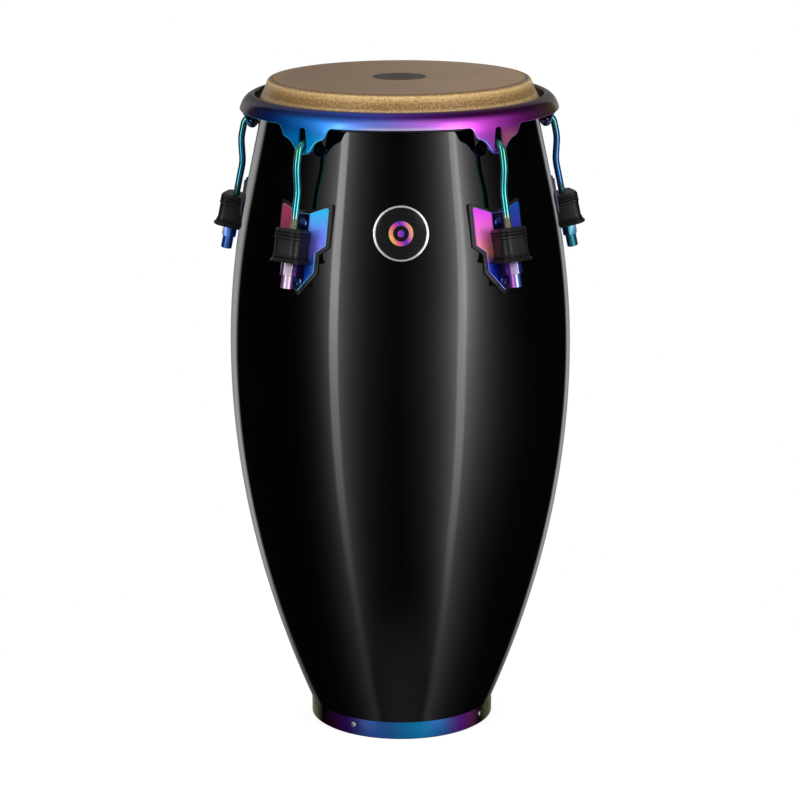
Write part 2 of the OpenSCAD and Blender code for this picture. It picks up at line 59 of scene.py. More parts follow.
class Wire:  # the output of a node, to reckon with
    def __init__(self, tree, socket=None):
        self.tree = tree
        self.socket = socket

    def node(self, kind, settings=None, values=None, out=0):
        made = self.tree.nodes.new(kind)
        for key, value in (settings or {}).items():
            setattr(made, key, value)
        for key, value in (values or {}).items():
            if isinstance(value, Wire):
                self.tree.links.new(value.socket, made.inputs[key])
            else:
                made.inputs[key].default_value = value
        return Wire(self.tree, made.outputs[out])

    def math(self, operation, *values):
        return self.node("ShaderNodeMath", {"operation": operation}, dict(enumerate(values)))

    def __add__(self, other):
        return self.math("ADD", self, other)

    def __radd__(self, other):
        return self.math("ADD", other, self)

    def __sub__(self, other):
        return self.math("SUBTRACT", self, other)

    def __rsub__(self, other):
        return self.math("SUBTRACT", other, self)

    def __mul__(self, other):
        return self.math("MULTIPLY", self, other)

    def __rmul__(self, other):
        return self.math("MULTIPLY", other, self)

    def __truediv__(self, other):
        return self.math("DIVIDE", self, other)

    def atMost(self, limit):
        return self.math("MINIMUM", self, limit)

    def atLeast(self, limit):
        return self.math("MAXIMUM", self, limit)

    def unsigned(self):
        return self.math("ABSOLUTE", self)

    def exponent(self):
        return self.math("EXPONENT", self)

    def fraction(self):
        return self.math("FRACT", self)

    def into(self, shader, name):
        self.tree.links.new(self.socket, shader.inputs[name])


def newFinish(name, **sockets):  # an underscore stands for a space in a socket's name
    finish = bpy.data.materials.new(name)
    finish.use_nodes = True
    shader = finish.node_tree.nodes["Principled BSDF"]
    for key, value in sockets.items():
        shader.inputs[key.replace("_", " ")].default_value = value
    spot = Wire(finish.node_tree).node("ShaderNodeTexCoord", out="Object")
    return finish, shader, spot


def axesOf(spot):
    split = spot.node("ShaderNodeSeparateXYZ", None, {0: spot}).socket.node
    return [Wire(spot.tree, axis) for axis in split.outputs]


def angleOf(across, ahead):
    return across.math("ARCTAN2", across, ahead)


def lengthOf(across, ahead):
    return across.math("SQRT", across * across + ahead * ahead)


def turnOf(spot):  # 0.5 at the front, growing to the right, 0 and 1 at the back
    x, y, z = axesOf(spot)
    return angleOf(x, y * -1.0) / fullTurn + 0.5


def step(value, low, high):  # smooth 0 to 1 from low to high
    return value.node("ShaderNodeMapRange", {"interpolation_type": "SMOOTHSTEP"},
                      {"Value": value, "From Min": low, "From Max": high})


def within(value, rise, fall):  # 1 between two steps
    return step(value, *rise) * (1 - step(value, *fall))


def noise(spot, scale, detail=3.0, roughness=0.5):
    return spot.node("ShaderNodeTexNoise", None,
                     {"Vector": spot, "Scale": scale, "Detail": detail, "Roughness": roughness})


def ramp(value, stops, blend="LINEAR"):
    made = value.node("ShaderNodeValToRGB", None, {0: value})
    colours = made.socket.node.color_ramp
    colours.interpolation = blend
    while len(colours.elements) < len(stops):
        colours.elements.new(1.0)
    for element, (place, colour) in zip(colours.elements, stops):
        element.position = place
        element.color = colour
    return made


def mix(factor, first, second):
    source = next(v for v in (factor, first, second) if isinstance(v, Wire))
    return source.node("ShaderNodeMix", {"data_type": "RGBA"}, {0: factor, 6: first, 7: second}, 2)


def roughen(spot, shader, low, spread, scale, detail=3):  # a roughness that wanders a little
    (low + noise(spot, scale, detail) * spread).into(shader, "Roughness")


def bump(height, shader, strength, distance):
    values = {"Height": height, "Strength": strength, "Distance": distance}
    height.node("ShaderNodeBump", None, values).into(shader, "Normal")


def clearSelection():
    if bpy.context.object and bpy.context.object.mode != "OBJECT":
        bpy.ops.object.mode_set(mode="OBJECT")
    bpy.ops.object.select_all(action="DESELECT")


def takeUp(piece):  # the one piece that the next operators work on
    clearSelection()
    bpy.context.view_layer.objects.active = piece
    piece.select_set(True)


def editAll():
    bpy.ops.object.mode_set(mode="EDIT")
    bpy.ops.mesh.select_all(action="SELECT")


def spin(steps, angle, copies=False):  # what is selected, round the drum's axis
    bpy.ops.mesh.spin(steps=steps, angle=angle, center=(0, 0, 0), axis=(0, 0, 1), dupli=copies)


def smoothShade(degrees):
    bpy.ops.object.shade_smooth_by_angle(angle=math.radians(degrees))


def drawProfile(name, profile, seed=0.002):
    clearSelection()
    bpy.ops.mesh.primitive_plane_add(size=seed)
    piece = bpy.context.object
    piece.name = name
    editAll()
    bpy.ops.mesh.merge(type="CENTER")  # one point, drawn out along the profile
    here = Vector((profile[0][0], 0, profile[0][1]))
    bpy.ops.transform.translate(value=here)
    for radius, height in profile[1:]:
        there = Vector((radius, 0, height))
        bpy.ops.mesh.extrude_vertices_move(TRANSFORM_OT_translate={"value": there - here})
        here = there
    bpy.ops.mesh.select_all(action="SELECT")
    return piece


def closeSeams(threshold):
    bpy.ops.mesh.select_all(action="SELECT")
    bpy.ops.mesh.remove_doubles(threshold=threshold)
    bpy.ops.mesh.normals_make_consistent(inside=False)
    bpy.ops.object.mode_set(mode="OBJECT")


def lathe(name, profile, steps, seam=0.00001, smooth=40):
    piece = drawProfile(name, profile)
    spin(steps, fullTurn)
    closeSeams(seam)
    smoothShade(smooth)
    return piece


def copyNode(node, name, merge=0.000005, flat=0.5):  # a copy of the CAD mesh, without needless edges
    piece = bpy.data.objects.new(name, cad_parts[node].data.copy())
    bpy.context.scene.collection.objects.link(piece)
    takeUp(piece)
    if piece.data.has_custom_normals:
        bpy.ops.mesh.customdata_custom_splitnormals_clear()
    editAll()
    bpy.ops.mesh.remove_doubles(threshold=merge)
    bpy.ops.mesh.dissolve_limited(angle_limit=math.radians(flat))
    bpy.ops.object.mode_set(mode="OBJECT")
    piece.data.materials.clear()
    return piece


def roundEdges(piece, width, segments, ownFinish, sharp=30):
    edge = piece.modifiers.new("edge", "BEVEL")
    edge.width = width
    edge.segments = segments
    edge.limit_method = "ANGLE"
    edge.angle_limit = math.radians(sharp)
    edge.use_clamp_overlap = False
    if ownFinish:  # the rounded edges take the second finish
        piece.data.materials.append(None)
        piece.data.materials.append(None)
        edge.material = 1
    bpy.ops.object.modifier_apply(modifier=edge.name)


def finishPiece(piece, body, slot, node, *finishes):
    while len(piece.data.materials) < len(finishes):
        piece.data.materials.append(None)
    for place, finish in enumerate(finishes):
        piece.data.materials[place] = finish
    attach(piece, body)
    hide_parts(node)


def dressNode(node, name, body, slot, *finishes, width=0.0, segments=2, smooth=35):
    piece = copyNode(node, name)
    if width:
        roundEdges(piece, width, segments, len(finishes) > 1)
    smoothShade(smooth)
    finishPiece(piece, body, slot, node, *finishes)


def paintNode(node, finish):
    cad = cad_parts[node]
    for place in cad.material_slots:
        place.material = finish


# the studio: camera, strips of light that the gloss mirrors, soft lamps, pale floor
studio = dict(distance=3.3142, height=1.2124, pitch=0.2455, roll=-0.0041, turn=-0.4, focal=2918.45,
              shift=-0.56, pixels=800, sensor=36, clip=50, ambient=0.34, watts=34, aim=(0, 0, 0.45))
white = (1, 1, 1, 1)

cameraData = bpy.data.cameras.new("photoCamera")
cameraData.sensor_width = studio["sensor"]
cameraData.lens = studio["focal"] * studio["sensor"] / studio["pixels"]
cameraData.shift_x = studio["shift"] / studio["pixels"]
cameraData.clip_end = studio["clip"]
camera = bpy.data.objects.new("photoCamera", cameraData)
bpy.context.scene.collection.objects.link(camera)
bpy.context.scene.camera = camera
swing = math.radians(studio["turn"])
camera.location = (studio["distance"] * math.sin(swing), -studio["distance"] * math.cos(swing),
                   studio["height"])
tilt = Matrix.Rotation(math.pi / 2 - studio["pitch"], 3, "X") @ Matrix.Rotation(studio["roll"], 3, "Z")
camera.rotation_euler = (Matrix.Rotation(swing, 3, "Z") @ tilt).to_euler()

world = bpy.data.worlds.new("studio")
bpy.context.scene.world = world
world.use_nodes = True
sky = Wire(world.node_tree)
wayX, wayY, wayZ = axesOf(sky.node("ShaderNodeTexCoord", out="Generated"))
around = angleOf(wayX, wayY * -1.0) * (180 / math.pi)  # degrees from the front, right is more
lift = sky.math("ARCSINE", wayZ) * (180 / math.pi)
side = around.unsigned()
onRight = step(around, -1, 1)


def sided(left, right):
    return onRight * (right - left) + left


# how the strips look in the gloss, in degrees and brightness; pairs are left and right, or a step's two ends
strip = dict(middle=45.5, rightIn=2.0, lean=3.0, leanFrom=(-14, 12), leanDown=(-50, -36), half=3.0, blur=0.8,
             blurGrow=0.06, core=(4.4, 2.6), coreFade=(18, 40), coreEnd=(-56, -22), hold=3.0, holdFade=30,
             seam=1.5, seamGrow=0.11, inner=(2.7, 4.1), innerWidth=9.0, innerFrom=6.0, innerFade=52,
             outer=(3.4, 6.4), outerWidth=(6.0, 8.4), outerFade=(28, 24), top=(26, 46), deep=20.0,
             lowest=36.0)
spread = dict(leftOver=0.3, leftDeep=0.12, leftLowest=0.15, rightUnder=0.17, rightLowest=0.3)
under = lift.atMost(0.0)
over = lift.atLeast(0.0)
deepUnder = (lift + strip["deep"]).atMost(0.0)
lowest = (lift + strip["lowest"]).atMost(0.0)
lean = (1 - step(lift, *strip["leanFrom"])) * step(lift, *strip["leanDown"]) * strip["lean"]
offStrip = side - (strip["middle"] - onRight * (lean + strip["rightIn"]))  # degrees outside a strip's middle
outside = step(offStrip, under * strip["seamGrow"] - strip["seam"], strip["seam"] - under * strip["seamGrow"])
blur = strip["blur"] - deepUnder * strip["blurGrow"]
hold = (under / strip["holdFade"]).exponent() * strip["hold"]  # the glow stays level across the strip
core = (1 - step(offStrip.unsigned(), strip["half"] - blur, strip["half"] + blur)) * sided(*strip["core"])
core = core * (under / sided(*strip["coreFade"])).exponent() * step(lift, *strip["coreEnd"])
innerGlow = (offStrip.atMost(hold * -1.0) / strip["innerWidth"]).exponent() * sided(*strip["inner"])
innerGlow = innerGlow * ((under + strip["innerFrom"]) / strip["innerFade"] + 1.0).atMost(1.0).atLeast(0.0)
leftWidth = (strip["outerWidth"][0] + over * spread["leftOver"] - deepUnder * spread["leftDeep"]
             - lowest * spread["leftLowest"])
rightWidth = (strip["outerWidth"][1] - under.atLeast(-strip["deep"]) * spread["rightUnder"]
              - lowest * spread["rightLowest"])
outerGlow = (offStrip.atLeast(hold) * -1.0 / sided(leftWidth, rightWidth)).exponent() * sided(*strip["outer"])
outerGlow = outerGlow * (under / sided(*strip["outerFade"])).exponent()
strips = (core + innerGlow * (1 - outside) + outerGlow * outside) * (1 - step(lift, *strip["top"]))

# the pale wall behind the drum, and a little light from above, the floor and the front
wall = dict(edge=(150.5, 153.0), soft=(-4, 4), leftOut=8.0, leftFrom=(-24, 2), level=0.95, dim=0.66,
            dimFrom=(148, 172), low=(-29, -20), lowShare=0.83, lowest=(-60, -30), lowestShare=0.17)
faint = dict(above=0.3, aboveFrom=(30, 62), floor=0.165, floorFrom=(-60, -43), floorSides=(8, 80),
             floorFall=0.85, front=0.016, frontSides=(50, 90), least=0.004)
wallEdge = sided(*wall["edge"]) - (1 - onRight) * step(lift, *wall["leftFrom"]) * wall["leftOut"]
behind = step(side - wallEdge, *wall["soft"]) * (wall["level"] - step(side, *wall["dimFrom"]) * wall["dim"])
wallLow = step(lift, *wall["low"]) * wall["lowShare"] + step(lift, *wall["lowest"]) * wall["lowestShare"]
behind = behind * wallLow
above = step(lift, *faint["aboveFrom"]) * faint["above"]
floorGlow = (1 - step(side, *faint["floorSides"]) * faint["floorFall"]) * faint["floor"]
floorGlow = (1 - step(lift, *faint["floorFrom"])) * floorGlow
frontGlow = (1 - step(side, *faint["frontSides"])) * faint["front"] + faint["least"]
mirrored = strips + behind + above + floorGlow + frontGlow
mirroredGrey = sky.node("ShaderNodeCombineColor", None, dict.fromkeys(range(3), mirrored))
seen = sky.node("ShaderNodeLightPath", out="Is Camera Ray")
glossy = sky.node("ShaderNodeLightPath", out="Is Glossy Ray")
level = mix(seen, mix(glossy, (studio["ambient"],) * 3 + (1,), mirroredGrey), white)
level.into(world.node_tree.nodes["Background"], "Color")

lamps = dict(keyLeft=((-1.7, -2.0, 1.9), 1.0, 1.1), keyRight=((1.8, -1.9, 1.9), 1.0, 1.1),
             overhead=((0.0, -0.3, 2.9), 0.8, 1.6), backFill=((0.3, 2.4, 1.6), 0.5, 1.4))
for name, (place, share, size) in lamps.items():
    lampData = bpy.data.lights.new(name, "AREA")
    lampData.energy = share * studio["watts"]
    lampData.size = size
    lamp = bpy.data.objects.new(name, lampData)
    bpy.context.scene.collection.objects.link(lamp)
    lamp.location = place
    lamp.rotation_euler = (Vector(studio["aim"]) - Vector(place)).to_track_quat("-Z", "Y").to_euler()
    lamp.visible_glossy = False  # the strips alone show in the gloss

floorSize = dict(radius=0.55, sides=96, grey=(0.8, 0.8, 0.8, 1), rough=0.9, glow=1.4, share=0.6)
clearSelection()
bpy.ops.mesh.primitive_circle_add(vertices=floorSize["sides"], radius=floorSize["radius"], fill_type="NGON",
                                  location=(0, 0, 0))
floor = bpy.context.object
floor.name = "floor"
floorFinish, shader, spot = newFinish("paleFloor", Roughness=floorSize["rough"], Base_Color=floorSize["grey"])
glow = spot.node("ShaderNodeEmission", None, {"Color": white, "Strength": floorSize["glow"]})
seen = spot.node("ShaderNodeLightPath", out="Is Camera Ray")
plain = Wire(floorFinish.node_tree, shader.outputs[0])
paleMix = spot.node("ShaderNodeMixShader", None, {0: seen * floorSize["share"], 1: plain, 2: glow})
paleMix.into(floorFinish.node_tree.nodes["Material Output"], "Surface")
floor.data.materials.append(floorFinish)
floor.visible_glossy = False
print("studio set")


# shell: one smooth turned wall, two parabolas and a straight cone
shellSize = dict(bellyRadius=0.1973, bellyHeight=0.446, footRadius=0.0998, low=0.004, straight=0.631,
                 top=0.7605, slope=math.tan(math.radians(12.1)), wall=0.009, steps=224, rows=64, rowLow=0.022,
                 rowTop=0.008, footLow=0.012, footTop=0.0218, footIn=0.0022, footLip=0.0004, innerDown=0.0015,
                 edge=((0.0006, 0.0042), (-0.0012, 0.0012), (-0.0042, 0.0), (-0.0074, 0.002)))  # out and down


def shellRadius(height):
    s = shellSize
    if height < s["bellyHeight"]:
        fall = (s["bellyHeight"] - height) / (s["bellyHeight"] - s["low"])
        return s["bellyRadius"] - (s["bellyRadius"] - s["footRadius"]) * fall ** 2
    span = s["straight"] - s["bellyHeight"]
    rise = height - s["bellyHeight"]
    return s["bellyRadius"] - s["slope"] * (rise ** 2 / (2 * span) if rise < span else rise - span / 2)


def shellProfile():
    s = shellSize
    span = s["top"] - s["rowTop"] - s["rowLow"]
    heights = [s["rowLow"] + span * i / s["rows"] for i in range(s["rows"] + 1)]
    foot = shellRadius(s["footTop"])
    brim = shellRadius(s["top"])
    points = [(foot - s["footIn"], s["footLow"]), (foot - s["footIn"], s["footTop"] - s["footLip"])]
    points += [(shellRadius(h), h) for h in heights]
    points += [(brim + out, s["top"] - down) for out, down in s["edge"]]
    points += [(shellRadius(h) - s["wall"], h - s["innerDown"]) for h in reversed(heights[1:-1])]
    return points + [(foot - s["wall"], s["footLow"]), points[0]]


shellPiece = lathe("shellGloss", shellProfile(), shellSize["steps"])
blackGloss, shader, spot = newFinish("blackGloss")
mix(noise(spot, 9, 2), tone(1, 1, 2), tone(5, 4, 6)).into(shader, "Base Color")
roughen(spot, shader, 0.028, 0.03, 40, 4)
bump(noise(spot, 130, 2), shader, 0.015, 0.001)
finishPiece(shellPiece, "drum", "shell_gloss", "shell", blackGloss)
print("shell turned:", len(shellPiece.data.polygons), "faces")


# head: tan face, rounded shoulder and golden collar that runs down under the rim
headSize = dict(face=0.762, faceRadius=0.145, shoulderRadius=0.1515, shoulder=0.7555, skirtRadius=0.162,
                collar=0.734, low=0.722, thick=0.0015, steps=224, rows=10, collarRows=12, hollow=0.2,
                bend=(1.15, 0.9), dip=0.0003, dipFrom=(0.0012, 0.0001), skirt=0.004,
                innerBend=(0.0016, 0.0008))


def headProfile():
    h = headSize
    points = [(h["faceRadius"] * i / h["rows"], h["face"]) for i in range(h["rows"])]
    points += [(h["faceRadius"] - h["dipFrom"][0], h["face"] - h["dipFrom"][1])]
    points += [(h["faceRadius"], h["face"] - h["dip"])]
    for i in range(1, h["rows"]):  # round the shoulder
        turn = math.radians(90 * i / h["rows"])
        out = (h["shoulderRadius"] - h["faceRadius"]) * math.sin(turn) ** h["bend"][0]
        rise = (h["face"] - h["shoulder"]) * math.cos(turn) ** h["bend"][1]
        points.append((h["faceRadius"] + out, h["shoulder"] + rise - h["dip"]))
    for i in range(h["collarRows"] + 1):  # sloping collar, a little hollow, then upright skirt
        t = i / h["collarRows"]
        out = (h["skirtRadius"] - h["shoulderRadius"]) * ((1 - h["hollow"]) * t + h["hollow"] * t * t)
        points.append((h["shoulderRadius"] + out, h["shoulder"] + (h["collar"] - h["shoulder"]) * t))
    inside = h["skirtRadius"] - h["thick"]
    points += [(h["skirtRadius"], h["collar"] - h["skirt"]), (h["skirtRadius"], h["low"])]
    points += [(inside, h["low"]), (inside, h["collar"])]
    points += [(h["shoulderRadius"] - h["innerBend"][0], h["shoulder"] - h["innerBend"][1])]
    points += [(h["faceRadius"] + h["thick"], h["face"] - h["thick"])]
    return points + [(0.0, h["face"] - h["thick"])]


headPiece = lathe("headSkin", headProfile(), headSize["steps"])

# where the head's colours change, painted shade and highlights among them: across, out from the middle, and
# up
headPaint = dict(faceShadeSides=(-0.14, 0.14), faceEdge=(0.128, 0.1435), disc=(0.0302, 0.0310),
                 ringIn=(0.0196, 0.0202), ringOut=(0.0236, 0.0242), darkFibre=(0.44, 0.6),
                 paleFibre=(0.5, 0.34), shadedSide=(-0.165, -0.04), tuck=(0.729, 0.736),
                 collar=(0.1448, 0.1458), creaseShadeIn=(0.1422, 0.1446), creaseShadeOut=(0.1462, 0.1478), goldLow=0.722,
                 goldSpan=0.04)
goldShadeAndHighlightStops = tones((0.0, 14, 11, 8), (0.2, 96, 76, 46), (0.58, 176, 146, 106), (0.62, 128, 101, 62),
                  (0.76, 146, 115, 70), (0.86, 206, 170, 116), (0.93, 214, 178, 124), (0.97, 120, 92, 58),
                  (1.0, 66, 51, 36))
skinFinish, shader, spot = newFinish("tanSkin", Specular_IOR_Level=0.35)
x, y, z = axesOf(spot)
reach = lengthOf(x, y)
blotch = noise(spot, 14, 5, 0.6)
fibre = noise(spot, 560, 3, 0.6)
# the face darker towards the left: painted shade
facePaint = mix(step(x, *headPaint["faceShadeSides"]), tone(106, 86, 67), tone(130, 109, 89))
facePaint = mix(blotch * 0.45, facePaint, tone(92, 73, 55))
facePaint = mix(step(reach, *headPaint["faceEdge"]) * 0.4, facePaint, tone(132, 102, 66))
facePaint = mix((1 - step(reach, *headPaint["disc"])) * 0.9, facePaint, tone(24, 21, 21))
ring = within(reach, headPaint["ringIn"], headPaint["ringOut"])
facePaint = mix(ring * 0.5, facePaint, tone(70, 62, 57))
# the collar's colour up its height: the dark foot is painted shade under the rim, the bright bands are
# painted highlights
goldPaint = ramp((z - headPaint["goldLow"]) / headPaint["goldSpan"], goldShadeAndHighlightStops)
goldPaint = mix(step(fibre, *headPaint["darkFibre"]) * 0.42, goldPaint, tone(104, 76, 40))
goldPaint = mix(step(fibre, *headPaint["paleFibre"]) * 0.35, goldPaint, tone(230, 196, 136))
# the collar darker on its left: painted shade
goldPaint = mix((1 - step(x, *headPaint["shadedSide"])) * 0.35, goldPaint, tone(84, 62, 34))
# the collar near black where it runs under the rim: painted shade
goldPaint = mix(step(z, *headPaint["tuck"]), tone(12, 10, 8), goldPaint)
onCollar = step(reach, *headPaint["collar"])
# a thin dark ring where the face turns over into the collar: painted shade in the crease
seam = within(reach, headPaint["creaseShadeIn"], headPaint["creaseShadeOut"])
mix(seam * 0.6, mix(onCollar, facePaint, goldPaint), tone(62, 47, 32)).into(shader, "Base Color")
(0.52 - onCollar * 0.16 + blotch * 0.1).into(shader, "Roughness")
bump(fibre + blotch * 0.6, shader, 0.22, 0.0004)
headPiece.data.materials.append(skinFinish)
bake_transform(headPiece)
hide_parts("head_skin")
print("head drawn over the shell:", len(headPiece.data.polygons), "faces")


# rainbow chrome: the colour runs round the drum
def rainbow(name, stops, drift=0.02, blend="B_SPLINE", **sockets):
    finish, shader, spot = newFinish(name, **sockets)
    paint = ramp(turnOf(spot) + (noise(spot, 16, 2) - 0.5) * drift, stops, blend)
    return finish, shader, spot, paint


clearCoat = dict(Coat_Weight=1.0, Coat_Roughness=0.06)

# rim: a rolled ring spun with an apron, whose lower edge is drawn up to the outline of the five ears
rimSize = dict(top=0.745, low=0.7285, outer=0.182, crownRadius=0.1665, crownRows=16, bendIn=0.0038,
               bendDown=0.0025, legIn=0.1645, legOut=0.1675, legLow=0.733, legTop=0.0022,
               legRound=(0.0008, 0.0006), underTop=0.0052, underFrom=2, sheet=0.003, skirt=0.0012, rows=12,
               round=0.0009, join=0.000004, smooth=38)
earSize = dict(half=0.0345, deep=0.0325, flare=0.26, flareDeep=0.008, tipFrom=0.0275, tipRoll=0.012,
               edgeIn=(0.0003, 0.001), edgeUp=(0.28, 0.0), innerUp=0.0003, probe=0.0004,
               corners=((1.42, 0), (1.12, 0), (0.93, 0.09), (0.83, 0.41), (0.5, 0.52), (0.28, 0.87),
                        (0.12, 1), (0, 1)))  # shares of half and deep
lipSize = dict(top=0.704, inside=0.1746, outside=0.177, grow=0.002, cut=0.0025, round=0.0009, flat=0.0004,
               low=0.0036, gap=0.0002, rows=7)
slotSize = dict(radius=0.0047, top=0.002, low=0.0046, wide=1.28, start=0.1782, deep=0.012, sides=40)


def earCurve():
    line = [(across * earSize["half"], deep * earSize["deep"]) for across, deep in earSize["corners"]]
    for turn in range(3):  # cut the corners round
        fresh = [line[0]]
        for (ua, da), (ub, db) in zip(line, line[1:]):
            fresh.append((ua * 0.75 + ub * 0.25, da * 0.75 + db * 0.25))
            fresh.append((ua * 0.25 + ub * 0.75, da * 0.25 + db * 0.75))
        line = fresh + [line[-1]]
    return line


earLine = earCurve()


def earDepth(across):  # how far the sheet hangs below the rim, this far from an ear's middle
    for (ua, da), (ub, db) in zip(earLine, earLine[1:]):
        if ub <= across <= ua and ua > ub:
            return max(rimSize["skirt"], da + (db - da) * (ua - across) / (ua - ub))
    return rimSize["skirt"]


def rimCurve(t, offset):  # the rolled outside, or that far inside it
    r = rimSize
    a = Vector((r["crownRadius"], r["top"]))
    b = Vector((r["outer"] - r["bendIn"], r["top"] - r["bendDown"]))
    c = Vector((r["outer"], r["low"]))
    place = a * (1 - t) ** 2 + b * 2 * t * (1 - t) + c * t * t
    along = ((b - a) * (1 - t) + (c - b) * t).normalized()
    return tuple(place + Vector((along[1], -along[0])) * offset)


def apronRadius(drop):  # the ear carries the rim's curve on until it hangs straight, and rolls in at the tip
    bend = min(drop, earSize["flareDeep"])
    tip = max(0.0, drop - earSize["tipFrom"])
    flare = earSize["flare"] * (bend - bend * bend / (2 * earSize["flareDeep"]))
    return rimSize["outer"] + flare - tip * tip / earSize["tipRoll"]


def rimRows():  # each row of the profile: what it is, and how far along
    rows = rimSize["rows"]
    crownRows = rimSize["crownRows"]
    named = [("legIn", i) for i in range(3)]
    named += [("crown", i / crownRows) for i in range(crownRows + 1)]
    named += [("outer", i / rows) for i in range(1, rows + 1)]
    named += [("edge", i) for i in range(2)]
    named += [("lip", i) for i in range(lipSize["rows"])]
    named += [("inner", i / rows) for i in range(rows, 0, -1)]
    named += [("under", i / crownRows) for i in range(crownRows - 1, rimSize["underFrom"], -1)]
    return named + [("legOut", i) for i in range(2)]


def lipPlace(row, low, inside, share):  # the upright lip behind an ear, folded away where the sheet is short
    p = lipSize
    middle = (p["inside"] + p["outside"]) / 2
    shoulder = p["top"] - p["round"]
    full = [(p["inside"] + p["cut"], low), (p["inside"], low + p["cut"]), (p["inside"], shoulder),
            (middle - p["flat"], p["top"]), (middle + p["flat"], p["top"]), (p["outside"], shoulder),
            (p["outside"], low + p["low"])][row]
    start = inside + p["gap"] * (p["rows"] - 1 - row)
    return start + (full[0] - start) * share, low + (full[1] - low) * share


def rimPlace(row, deep, slope):  # radius and height of a row where the sheet hangs this deep
    r = rimSize
    kind, t = row
    low = r["low"] - deep
    rounding = min(r["round"] * math.sqrt(1 + slope * slope), deep * 0.5)
    lip = max(0.0, min(1.0, (deep - (r["low"] - lipSize["top"])) / lipSize["grow"]))
    if kind == "legIn":
        return [(r["legIn"], r["legLow"]), (r["legIn"], r["top"] - r["legTop"]),
                (r["legIn"] + r["legRound"][0], r["top"] - r["legRound"][1])][t]
    if kind == "crown":
        return rimCurve(t, 0.0)
    if kind == "outer":
        drop = (deep - rounding) * t
        return apronRadius(drop), r["low"] - drop
    if kind == "edge":
        return apronRadius(deep) - earSize["edgeIn"][t], low + rounding * earSize["edgeUp"][t]
    if kind == "lip":
        return lipPlace(t, low, apronRadius(deep) - r["sheet"], lip)
    if kind == "inner":
        drop = (deep - lipSize["low"] * lip - earSize["innerUp"] * (1 - lip)) * t
        return apronRadius(drop) - r["sheet"], r["low"] - drop
    if kind == "under":
        return rimCurve(t, r["sheet"])
    return [(r["legOut"], r["top"] - r["underTop"]), (r["legOut"], r["legLow"])][t]


def columnAt(turn):  # depth and slope of the sheet's lower edge at an angle
    away = min(abs((turn - a + 180) % 360 - 180) for a in lugAngles)
    across = math.radians(away) * rimSize["outer"]
    probe = earSize["probe"]
    return earDepth(across), (earDepth(across - probe) - earDepth(across + probe)) / (2 * probe)


def nearestRow(profile, radius, height):
    return min(range(len(profile)), key=lambda i: abs(profile[i][0] - radius) + abs(profile[i][1] - height))


def spinRim():
    rows = rimRows()
    profile = [rimPlace(row, earSize["deep"], 0.0) for row in rows]
    piece = drawProfile("rimRainbow", profile + [profile[0]])
    ear = (32, 128)  # degrees and steps, fine across the ears
    for angle, steps in [(2, 1)] + [ear, (40, 16)] * 4 + [ear, (38, 16)]:
        spin(steps, -math.radians(angle))
    bpy.ops.object.mode_set(mode="OBJECT")
    # marks the rows of the lower edge, which take a painted highlight
    light = piece.data.attributes.new("edgeLight", "FLOAT", "POINT")
    columns = {}
    known = {}
    for v in piece.data.vertices:
        turn = math.degrees(math.atan2(v.co.y, v.co.x))
        column = round(turn, 2)
        if column not in columns:
            columns[column] = columnAt(turn)
        radius = math.hypot(v.co.x, v.co.y)
        spot = (round(radius, 5), round(v.co.z, 5))
        if spot not in known:
            known[spot] = rows[nearestRow(profile, radius, v.co.z)]
        row = known[spot]
        out, height = rimPlace(row, *columns[column])
        v.co = (out * v.co.x / radius, out * v.co.y / radius, height)
        light.data[v.index].value = 1.0 if row[0] == "edge" or row == ("outer", 1.0) else 0.0
    bpy.ops.object.mode_set(mode="EDIT")
    closeSeams(rimSize["join"])
    return piece


def slotCutter():  # a keyhole at the third lug, repeated round the drum
    s = slotSize
    clearSelection()
    bpy.ops.mesh.primitive_circle_add(vertices=s["sides"], radius=s["radius"], fill_type="NGON",
                                      rotation=(0, math.pi / 2, 0))
    bpy.ops.object.transform_apply(location=True, rotation=True, scale=True)
    cutter = bpy.context.object
    high = rimSize["low"] - s["top"] - s["radius"]
    low = rimSize["low"] - earSize["deep"] + s["low"] + s["radius"] * s["wide"]
    for v in cutter.data.vertices:
        if v.co.z > -0.00001:
            v.co = (s["start"], v.co.y, high + v.co.z)
        else:
            v.co = (s["start"], v.co.y * s["wide"], low + v.co.z * s["wide"])
    turn = math.radians(lugAngles[2])
    cutter.data.transform(Matrix.Rotation(turn, 4, "Z"))
    out = Matrix.Rotation(turn, 3, "Z") @ Vector((s["deep"], 0, 0))
    editAll()
    bpy.ops.mesh.extrude_region_move(TRANSFORM_OT_translate={"value": out})
    bpy.ops.mesh.select_all(action="SELECT")
    bpy.ops.mesh.normals_make_consistent(inside=False)
    spin(len(lugs) - 1, math.radians(lugAngles[-1] - lugAngles[0]), copies=True)
    bpy.ops.object.mode_set(mode="OBJECT")
    return cutter


def cutSlots(piece, cutter):
    takeUp(piece)
    slots = piece.modifiers.new("slots", "BOOLEAN")
    slots.operation = "DIFFERENCE"
    slots.object = cutter
    slots.solver = "EXACT"
    bpy.ops.object.modifier_apply(modifier=slots.name)
    bpy.data.objects.remove(cutter)


rimPiece = spinRim()
cutSlots(rimPiece, slotCutter())
smoothShade(rimSize["smooth"])

